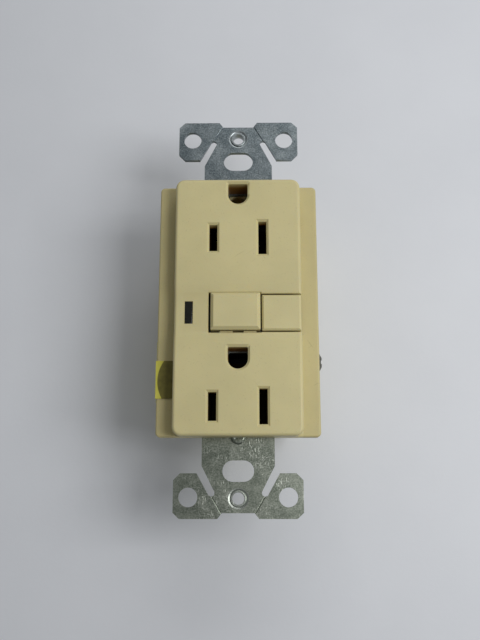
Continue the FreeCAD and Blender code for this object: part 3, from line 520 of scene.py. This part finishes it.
def zinc_plate(name):
    """Zinc-plated strip: a fine mottle, bluish at one end and olive at the other, with curved rubs and
    a painted highlight round the tapped holes.
    """
    f = Finish(name, 0.4, 1.0)
    fine = f.math("MULTIPLY", f.noise(2600, 2), 0.55)
    broad = f.math("MULTIPLY", f.noise(300, 4, 0.6), 0.45)
    mottle = f.math("ADD", fine, broad)
    places = (0.36, 0.5, 0.64)
    bluish = f.ramp(mottle, *zip(places, (
        (0.105, 0.135, 0.150), (0.205, 0.242, 0.258), (0.340, 0.385, 0.400))))
    olive = f.ramp(mottle, *zip(places, (
        (0.175, 0.202, 0.162), (0.285, 0.315, 0.262), (0.420, 0.445, 0.380))))
    down = f.band(f.axes()["Y"], MM * 20, MM * -30)
    base = f.blend(down, bluish, olive)
    marks = None
    for turn in (0.5, 1.7, 2.8):
        lines = f.warped(f.stretched((0.20, 1.0, 1.0), turn), 420, 1.1)
        strokes = f.band(f.noise(3300, 1, 0.5, lines), 0.62, 0.70)
        marks = f.math("MAXIMUM", marks, strokes) if marks else strokes
    rubbed = f.math("MULTIPLY", f.band(f.noise(110, 3), 0.40, 0.60), f.math("MAXIMUM", down, 0.30))
    marks = f.math("MULTIPLY", marks, rubbed)
    surface = f.blend(f.math("MULTIPLY", marks, 0.60), base, (0.70, 0.72, 0.65))
    # Painted highlight: the strap is lightened round the funnels of the tapped holes.
    painted_highlight = f.math("MULTIPLY", highlight_near_tapped_holes(f), 0.28)
    f.colour(f.blend(painted_highlight, surface, (0.66, 0.69, 0.68)))
    f.rough(mottle, 0.30, 0.46)
    f.bump(f.noise(3200, 3), 0.014)
    f.bump(marks, -0.012)
    return f.material


def lacquer(name, colour, roughness, grain=0.006):
    """A dipped or shrunk coat: uneven colour, slight lumps and a glossy top."""
    f = Finish(name, roughness)
    dark = [c * 0.85 for c in colour]
    light = [min(1, c * 1.1) for c in colour]
    f.colour(f.ramp(f.noise(400, 3), (0.3, dark), (0.7, light)))
    f.rough(f.noise(1500, 2), roughness - 0.05, roughness + 0.1)
    f.bump(f.noise(700, 2), grain)
    return f.material


def wound_wire(name):
    """Enamelled copper laid in turns: ridges along the winding with darker gaps."""
    f = Finish(name, 0.3, 0.85)
    ridges = f.noise(2600, 1, 0.5, f.stretched((0.25, 1.0, 1.0)))
    f.colour(f.ramp(ridges, (0.35, (0.20, 0.07, 0.03)), (0.6, (0.62, 0.28, 0.13))))
    f.rough(ridges, 0.26, 0.42)
    f.bump(ridges, 0.05)
    return f.material


def laminate(name):
    """Glass-epoxy board: green mask with a faint weave below it."""
    f = Finish(name, 0.35)
    warp = f.noise(1800, 1, 0.5, f.stretched((1, 0.1, 1)))
    weft = f.noise(1800, 1, 0.5, f.stretched((0.1, 1, 1)))
    weave = f.math("MULTIPLY", warp, weft)
    f.colour(f.ramp(weave, (0.15, (0.015, 0.10, 0.045)), (0.4, (0.03, 0.17, 0.08))))
    f.rough(weave, 0.3, 0.42)
    f.bump(weave, 0.01)
    return f.material


def tape_with_dark_patch(name):
    """Yellow vinyl tape; a dark rounded patch shows inside the tab's bright outer strip."""
    f = Finish(name, 0.5)
    yellow = f.ramp(f.noise(160, 3), (0.3, (0.58, 0.54, 0.065)), (0.7, (0.70, 0.66, 0.11)))
    x, y, z = f.axes()
    from_x = f.math("SUBTRACT", x, MM * (PATCH_R + TAPE_STRIP - FLANGE_X))
    from_y = f.math("SUBTRACT", y, MM * TAPE_Y)
    inside = f.band(f.length(from_x, from_y), MM * (PATCH_R + 0.06), MM * (PATCH_R - 0.06))
    on_top = f.band(z, MM * (FLANGE_Z - 0.05), MM * FLANGE_Z)
    brown = f.ramp(f.noise(700, 3), (0.3, (0.120, 0.104, 0.012)), (0.7, (0.180, 0.155, 0.022)))
    f.colour(f.blend(f.math("MULTIPLY", inside, on_top), yellow, brown))
    f.rough(f.noise(500, 2), 0.42, 0.6)
    f.bump(f.noise(520, 3), 0.03)
    return f.material


IVORY = (0.640, 0.570, 0.300)
GLOW = 0.15
FINISHES = {
    "cover_plastic": moulded("ivory_nylon", IVORY, 0.44, glow=GLOW, is_cover=True),
    "body_plastic": moulded("ivory_nylon_body", (0.60, 0.535, 0.29), 0.55, 0.03, 0.07, GLOW),
    "button_plastic": moulded("ivory_nylon_buttons", (0.655, 0.585, 0.312), 0.40, glow=GLOW),
    "inner_plastic": moulded("black_phenolic", (0.022, 0.022, 0.024), 0.5, 0.02, 0.2),
    "zinc_steel": zinc_plate("zinc_plate"),
    "brass": bright_metal("rolled_brass", (0.62, 0.45, 0.19), 0.28, 0.48, 0.01, (1, 0.06, 1)),
    "nickel_brass": bright_metal("nickel_plate", (0.52, 0.51, 0.47), 0.25, 0.45, 0.01, (1, 0.06, 1)),
    "brass_screw": bright_metal("brass_plate", (0.64, 0.46, 0.18), 0.25, 0.42, 0.012),
    # The nickel screws are coloured a dark olive grey, far darker than bare nickel.
    "nickel_screw": bright_metal("darkened_nickel", (0.17, 0.165, 0.125), 0.40, 0.56, 0.015),
    "green_screw": bright_metal("green_dye", (0.05, 0.26, 0.11), 0.3, 0.5, 0.012),
    "spring_steel": bright_metal("drawn_wire", (0.42, 0.42, 0.42), 0.22, 0.4, 0.006, (1, 1, 0.1)),
    "silver": bright_metal("silver_contact", (0.78, 0.77, 0.74), 0.2, 0.38, 0.006),
    "copper_wire": wound_wire("enamelled_copper"),
    "board": laminate("board_laminate"),
    "dark_epoxy": moulded("moulded_epoxy", (0.018, 0.018, 0.02), 0.5, 0.02, 0.2),
    "varistor_blue": lacquer("blue_coat", (0.03, 0.10, 0.36), 0.3),
    "capacitor_sleeve": lacquer("dark_blue_sleeve", (0.012, 0.018, 0.085), 0.28),
    "film_red": lacquer("red_coat", (0.33, 0.035, 0.02), 0.3),
    "resistor_tan": lacquer("tan_coat", (0.50, 0.33, 0.16), 0.4),
    "lens_dark": lacquer("smoked_acrylic", (0.008, 0.008, 0.005), 0.24, 0.001),
    "led_epoxy": lacquer("green_epoxy", (0.06, 0.30, 0.08), 0.15),
    "tape_yellow": tape_with_dark_patch("yellow_tape"),
}

# Painted shade: the clips behind the plug slots are coloured near black, so that the slots look dark.
SLOT_SHADE_BRASS = bright_metal("shade_darkened_brass", (0.10, 0.065, 0.025), 0.5, 0.7, 0.012)


def dress_packed_nodes():
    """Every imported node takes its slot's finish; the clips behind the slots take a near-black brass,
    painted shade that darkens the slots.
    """
    slots = {s["node"]: s["material_slot"] for s in frame["record"]["subparts"]}
    for name, node in NODES.items():
        behind_slots = name.endswith(("face_contact", "ground_contact"))
        finish = SLOT_SHADE_BRASS if behind_slots else FINISHES[slots[name]]
        for place in node.material_slots:
            place.material = finish


# ---- front cover -------------------------------------------------------------------------

def upright(a, b):
    """Whether an edge stands straight up."""
    return abs(a.x - b.x) < 0.01 and abs(a.y - b.y) < 0.01


def face_block():
    """The raised face: a block whose top dips into the full-width recess, with a soft rim."""
    face = box("cover_moulding", (-FACE_X, FACE_X), (-COVER_Y, COVER_Y), (0, FACE_Z))
    for y in RECESS_Y:
        pick(face, faces=lambda c, n: True)
        bpy.ops.mesh.bisect(plane_co=(0, MM * y, 0), plane_no=(0, 1, 0))
        close()
    pick(face, edges=lambda a, b: all(
        abs(p.z - FACE_Z) < 0.01 and RECESS_Y[1] - 0.01 < p.y < RECESS_Y[2] + 0.01 for p in (a, b)))
    bpy.ops.transform.translate(value=(0, 0, MM * (RECESS_Z - FACE_Z)))
    close()
    bevel_edges(face, lambda a, b: upright(a, b) and abs(abs(a.y) - COVER_Y) < 0.01, FACE_CORNER, 6)
    bevel_edges(face, lambda a, b: on_rim(a) and on_rim(b) and not across(a, b), FACE_RIM, 4)
    return face


def on_rim(p):
    """Whether a point of the face's top lies on its outline, the recess's ends included."""
    past_x = abs(p.x) > FACE_X - FACE_CORNER - 0.01
    past_y = abs(p.y) > COVER_Y - FACE_CORNER - 0.01
    on_side = abs(abs(p.x) - FACE_X) < 0.01 or abs(abs(p.y) - COVER_Y) < 0.01 or (past_x and past_y)
    return p.z > RECESS_Z - 0.01 and on_side


def across(a, b):
    """Whether an edge runs from side to side, as the recess's creases do."""
    return abs(a.x - b.x) > FACE_X and abs(a.y) < COVER_Y - 1


def flared(name, x, y, deep, top, lead=LEAD_IN, fall=LEAD_DEEP):
    """A cutter for a mouth: straight below, opened out above by the lead-in."""
    tool = box(name, x, y, (deep, top - fall))
    wide = [(pair[1] - pair[0] + 2 * lead) / (pair[1] - pair[0]) for pair in (x, y)]
    pick(tool, faces=lambda c, n: n.z > 0.5)
    bpy.ops.mesh.extrude_region_move(TRANSFORM_OT_translate={"value": (0, 0, MM * fall)})
    middle = (MM * sum(x) / 2, MM * sum(y) / 2, MM * top)
    bpy.ops.transform.resize(value=(*wide, 1), center_override=middle)
    bpy.ops.mesh.extrude_region_move(TRANSFORM_OT_translate={"value": (0, 0, MM * 1.5)})
    close()
    return tool


def ground_cutter(line_y):
    """The ground hole's cutter: round below, square above, with the same lead-in."""
    y = line_y + GROUND_UP
    mouth = FACE_Z - LEAD_DEEP
    tool = drum("ground_cutter", (0, y, (mouth - 1) / 2), GROUND_R, mouth + 1)
    square = box("square", (-GROUND_R, GROUND_R), (y, y + GROUND_FLAT), (-1, mouth))
    weld(tool, square)
    bevel_edges(tool, lambda a, b: upright(a, b) and a.y > y + GROUND_FLAT - 0.01, 0.35, 3)
    pick(tool, faces=lambda c, n: n.z > 0.9)
    spread = 1 + LEAD_IN / GROUND_R
    bpy.ops.mesh.extrude_region_move(TRANSFORM_OT_translate={"value": (0, 0, MM * LEAD_DEEP)})
    bpy.ops.transform.resize(value=(spread, spread, 1), center_override=(0, MM * y, MM * FACE_Z))
    bpy.ops.mesh.extrude_region_move(TRANSFORM_OT_translate={"value": (0, 0, MM * 1.5)})
    close()
    return tool


def flange():
    """The cover's low flat part, as wide as the whole cover."""
    plate = box("flange", (-FLANGE_X, FLANGE_X), (-COVER_Y, COVER_Y), (0, FLANGE_Z))
    bevel_edges(plate, upright, 1.1, 4)
    bevel_edges(plate, lambda a, b: a.z > FLANGE_Z - 0.01 and b.z > FLANGE_Z - 0.01, 0.5, 3)
    return plate


def inner_walls():
    """Slot tubes, well walls and screw bosses that stand under the face."""
    under = FACE_Z - SKIN + 0.2
    walls = []
    for line in LINES_Y:
        for x, long in BLADES:
            half_w = SLOT_W / 2 + TUBE_WALL
            half_l = long / 2 + TUBE_WALL
            sides = ((x - half_w, x + half_w), (line - half_l, line + half_l))
            walls.append(box("tube", *sides, (TUBE_END, under)))
        y = line + GROUND_UP
        high = min(y + GROUND_FLAT + 1, COVER_Y - WALL + 0.1)
        walls.append(box("tube", (-3.5, 3.5), (y - GROUND_R - 1, high), (GROUND_TUBE_END, under)))
    side = FACE_X - WALL + 0.1
    button_y = (WELL_Y[0] - 1, WELL_Y[1] + 1)
    lens_y = (LENS_Y[0] - TUBE_WALL, LENS_Y[1] + TUBE_WALL)
    walls.append(box("well", (WELL_X[0] - 1, side), button_y, (WELL_END, under)))
    walls.append(box("well", (-side, LENS_X[1] + TUBE_WALL), lens_y, (LENS_END, under)))
    for x, y in COVER_SCREWS:
        walls.append(drum("boss", (x, y, under / 2), BOSS_R, under, sides=32))
    return walls


def openings():
    """Cutters for the plug openings, the wells, the screw bores and the ways for strap and rivet."""
    tools = []
    half = SLOT_W / 2
    for line in LINES_Y:
        for x, long in BLADES:
            slot_y = (line - long / 2, line + long / 2)
            tools.append(flared("slot_cutter", (x - half, x + half), slot_y, -1, FACE_Z))
        tools.append(ground_cutter(line))
    beside = WELL_X[1] - 0.01
    test_x = (beside, FACE_X + 0.5)
    tools.append(flared("reset_way", WELL_X, WELL_Y, -1, RECESS_Z, EASED, EASED))
    tools.append(flared("test_way", test_x, TEST_Y, FLANGE_Z, RECESS_Z, EASED, EASED))
    tools.append(box("stem_way", (beside, FACE_X - WALL), TEST_Y, (-1, FLANGE_Z + 1)))
    tools.append(flared("lens_way", LENS_X, LENS_Y, -1, RECESS_Z, EASED / 2, EASED / 2))
    for x, y in COVER_SCREWS:
        tools.append(drum("bore", (x, y, 2.5), BOSS_BORE_R, 7, sides=32))
    for end in (-1, 1):
        near, far = sorted((end * (COVER_Y - WALL - 0.1), end * (COVER_Y + 1)))
        tools.append(box("strap_way", (-STRAP_HALF_W, STRAP_HALF_W), (near, far), (-1, STRAP_Z)))
    tools.append(drum("rivet_way", (0, RIVETS_Y[-1], 0.5), RIVET_R + 0.2, 2.9))
    return tools


def ledges():
    """Two small ledges in the reset well's lower wall."""
    y = (WELL_Y[0] - 0.01, WELL_Y[0] + LEDGE_OUT)
    return [box("ledge", x, y, LEDGE_Z) for x in LEDGES_X]


def cover_moulding():
    """The front cover: face and flange, hollowed, with its inner walls and every opening."""
    cover = weld(face_block(), flange())
    inside_x = FACE_X - WALL
    inside_y = COVER_Y - WALL
    cut(cover, box("cavity", (-inside_x, inside_x), (-inside_y, inside_y), (-1, FACE_Z - SKIN)))
    weld(cover, *inner_walls())
    cut(cover, *openings())
    weld(cover, *ledges())
    smooth(cover)
    return fit_out(cover, "receptacle", FINISHES["cover_plastic"], "cover_plastic", "front_cover")


# ---- buttons and lens --------------------------------------------------------------------

CAP_WALL = 1.2
CAP_SKIN = 1.8


def button(name, node, body, slope, foot, stem_at, stem_r):
    """A hollow cap with sloped shoulders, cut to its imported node's size, and its stem."""
    low, high = corners(node)
    top = high[2]
    cap = box(name, (low[0], high[0]), (low[1], high[1]), (foot, top))
    bevel_edges(cap, lambda a, b: a.z > top - 0.01 and b.z > top - 0.01, slope, 1)
    bevel_edges(cap, upright, 0.25, 3)
    inside = [(low[axis] + CAP_WALL, high[axis] - CAP_WALL) for axis in (0, 1)]
    cut(cap, box("hollow", *inside, (foot - 1, top - CAP_SKIN)))
    soften(cap, 0.14, 3, 25)
    stem_top = top - CAP_WALL
    middle = (*stem_at, (low[2] + stem_top) / 2)
    weld(cap, drum("stem", middle, stem_r, stem_top - low[2], sides=32))
    smooth(cap)
    return fit_out(cap, body, FINISHES["button_plastic"], "button_plastic", node)


def buttons():
    """The reset cap, which stands proud, and the test cap beside it."""
    button("reset_cap", "reset_button", "reset_control", 0.75, 3.6, (-0.6, -2.2), 1.7)
    button("test_cap", "test_button", "test_control", 0.45, 4.25, (11.4, -3.5), 1.2)


def lens():
    """The smoked window of the indicator, with a soft rim."""
    low, high = corners("indicator_lens")
    window = box("indicator_window", (low[0], high[0]), (low[1], high[1]), (low[2], high[2]))
    bevel_edges(window, lambda a, b: a.z > high[2] - 0.01 and b.z > high[2] - 0.01, 0.22, 3)
    smooth(window)
    fit_out(window, "receptacle", FINISHES["lens_dark"], "lens_dark", "indicator_lens")


# ---- strap, rivets, screws, body ---------------------------------------------------------

LIP_MIDDLE_Z = 0.8
LIP_DEEP = 0.62


def lip(y):
    """The raised rim round a wall-plate screw's hole, inside its funnel."""
    middle = (0, y, LIP_MIDDLE_Z)
    ring = drum("lip", middle, LIP_R, LIP_DEEP)
    bevel_edges(ring, lambda a, b: min(a.z, b.z) > LIP_MIDDLE_Z + 0.2, 0.2, 3)
    return cut(ring, drum("bore", middle, PLATE_SCREW_R, 3))


def strap():
    """The mounting strap with broken edges and a rim in each tapped hole's funnel."""
    plate = traced("strap_plate", "mounting_strap")
    weld(plate, lip(PLATE_SCREW_Y), lip(-PLATE_SCREW_Y))
    soften(plate, 0.2, 2, 50)
    fit_out(plate, "receptacle", FINISHES["zinc_steel"], "zinc_steel", "mounting_strap")


def rivets():
    """Three rivets with low domed heads, each staked with a cross."""
    rivet_set = traced("rivet_set", "ground_rivets")
    top = STRAP_Z + RIVET_HIGH
    for y in RIVETS_Y:
        dome = drum("dome", (0, y, STRAP_Z + RIVET_HIGH / 2), RIVET_R, RIVET_HIGH)
        bevel_edges(dome, lambda a, b: a.z > top - 0.08 and b.z > top - 0.08, 0.6, 5)
        for turn in (45, 135):
            groove = box("groove", (-RIVET_R, RIVET_R), (-0.16, 0.16), (top - 0.22, top + 1))
            bpy.ops.transform.rotate(
                value=math.radians(turn), orient_axis="Z", center_override=(0, 0, 0))
            bpy.ops.transform.translate(value=(0, MM * y, 0))
            settle()
            cut(dome, groove)
        weld(rivet_set, dome)
    soften(rivet_set, 0.06, 2, 50)
    fit_out(rivet_set, "receptacle", FINISHES["zinc_steel"], "zinc_steel", "ground_rivets")


def stamped(name, node, body, slot, width):
    """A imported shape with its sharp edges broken."""
    piece = traced(name, node)
    soften(piece, width, 2, 40)
    fit_out(piece, body, FINISHES[slot], slot, node)


def fasteners():
    """The four terminal screws and the green ground screw."""
    for end in ("line", "load"):
        for pole, slot in (("hot", "brass_screw"), ("neutral", "nickel_screw")):
            stem = f"{end}_{pole}"
            stamped(f"{stem}_binding_screw", f"{stem}_screw", f"{stem}_fastener", slot, 0.12)
    stamped("ground_hex_screw", "ground_screw", "ground_fastener", "green_screw", 0.12)


def rear():
    """The rear housing and the tape over one of its terminals."""
    stamped("rear_housing", "back_body", "receptacle", "body_plastic", 0.2)
    stamped("terminal_warning_tape", "load_terminal_tape", "receptacle", "tape_yellow", 0.03)


# ---- springs -----------------------------------------------------------------------------

# Each spring's node, its joint, the axis that it lies along, and the end of it that is seated.
SPRINGS = (
    ("reset_spring", "reset_press", "Z", "low"),
    ("opening_springs", "lifter_rise", "Z", "high"),
    ("plunger_spring", "plunger_stroke", "Y", "high"),
)


def springs():
    """Coil springs, each a smoothed copy of its imported node in drawn steel wire."""
    for node, joint, axis, seated in SPRINGS:
        coil = traced("seated_" + node, node)
        smooth(coil, 50)
        fit_out(coil, "receptacle", FINISHES["spring_steel"], "spring_steel", node)
        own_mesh(coil)


# ---- floor, light and camera -------------------------------------------------------------

def studio():
    """A pale table under the object, soft air and two soft panels."""
    deselect()
    bpy.ops.mesh.primitive_plane_add(size=1.6, location=(0, 0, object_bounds()[0][2]))
    floor = settle()
    floor.name = "studio_floor"
    f = Finish("pale_table", 0.6)
    f.colour(f.ramp(f.noise(30, 4), (0.3, (0.755, 0.775, 0.815)), (0.7, (0.785, 0.805, 0.845))))
    f.bump(f.noise(900, 3), 0.02)
    floor.data.materials.append(f.material)

    world = bpy.data.worlds.new("studio_air")
    world.use_nodes = True
    world.node_tree.nodes["Background"].inputs["Color"].default_value = (0.95, 0.975, 1.0, 1)
    world.node_tree.nodes["Background"].inputs["Strength"].default_value = 0.163
    bpy.context.scene.world = world
    soft_panel("window_light", (0.25, -0.03, 0.35), (0.18, 0.24), 1.0)
    soft_panel("far_panel", (0.10, 0.42, 0.34), (0.42, 0.32), 0.76)
    bpy.context.scene.view_settings.view_transform = "Standard"


def soft_panel(name, place, size, energy):
    """A rectangular light that faces the object; its place, size and energy are in metres and watts."""
    lamp = bpy.data.lights.new(name, "AREA")
    lamp.shape = "RECTANGLE"
    lamp.size, lamp.size_y = size
    lamp.energy = energy
    panel = bpy.data.objects.new(name, lamp)
    panel.location = place
    panel.rotation_euler = (-Vector(place)).to_track_quat("-Z", "Y").to_euler()
    bpy.context.scene.collection.objects.link(panel)


EYE_PLACE = (0.0031, -0.0452, 0.1909)
EYE_TURN = (12.57, 0.80, -0.02)
EYE_LENS = 41.75


def camera():
    """A camera above the device's lower end that looks down at its face."""
    eye = bpy.data.cameras.new("eye")
    eye.lens = EYE_LENS
    eye.sensor_width = 36
    eye.clip_start = 0.005
    holder = bpy.data.objects.new("eye", eye)
    holder.location = EYE_PLACE
    holder.rotation_euler = [math.radians(degrees) for degrees in EYE_TURN]
    bpy.context.scene.collection.objects.link(holder)
    bpy.context.scene.camera = holder


camera()
studio()
dress_packed_nodes()
cover_moulding()
buttons()
lens()
strap()
rivets()
fasteners()
rear()
springs()
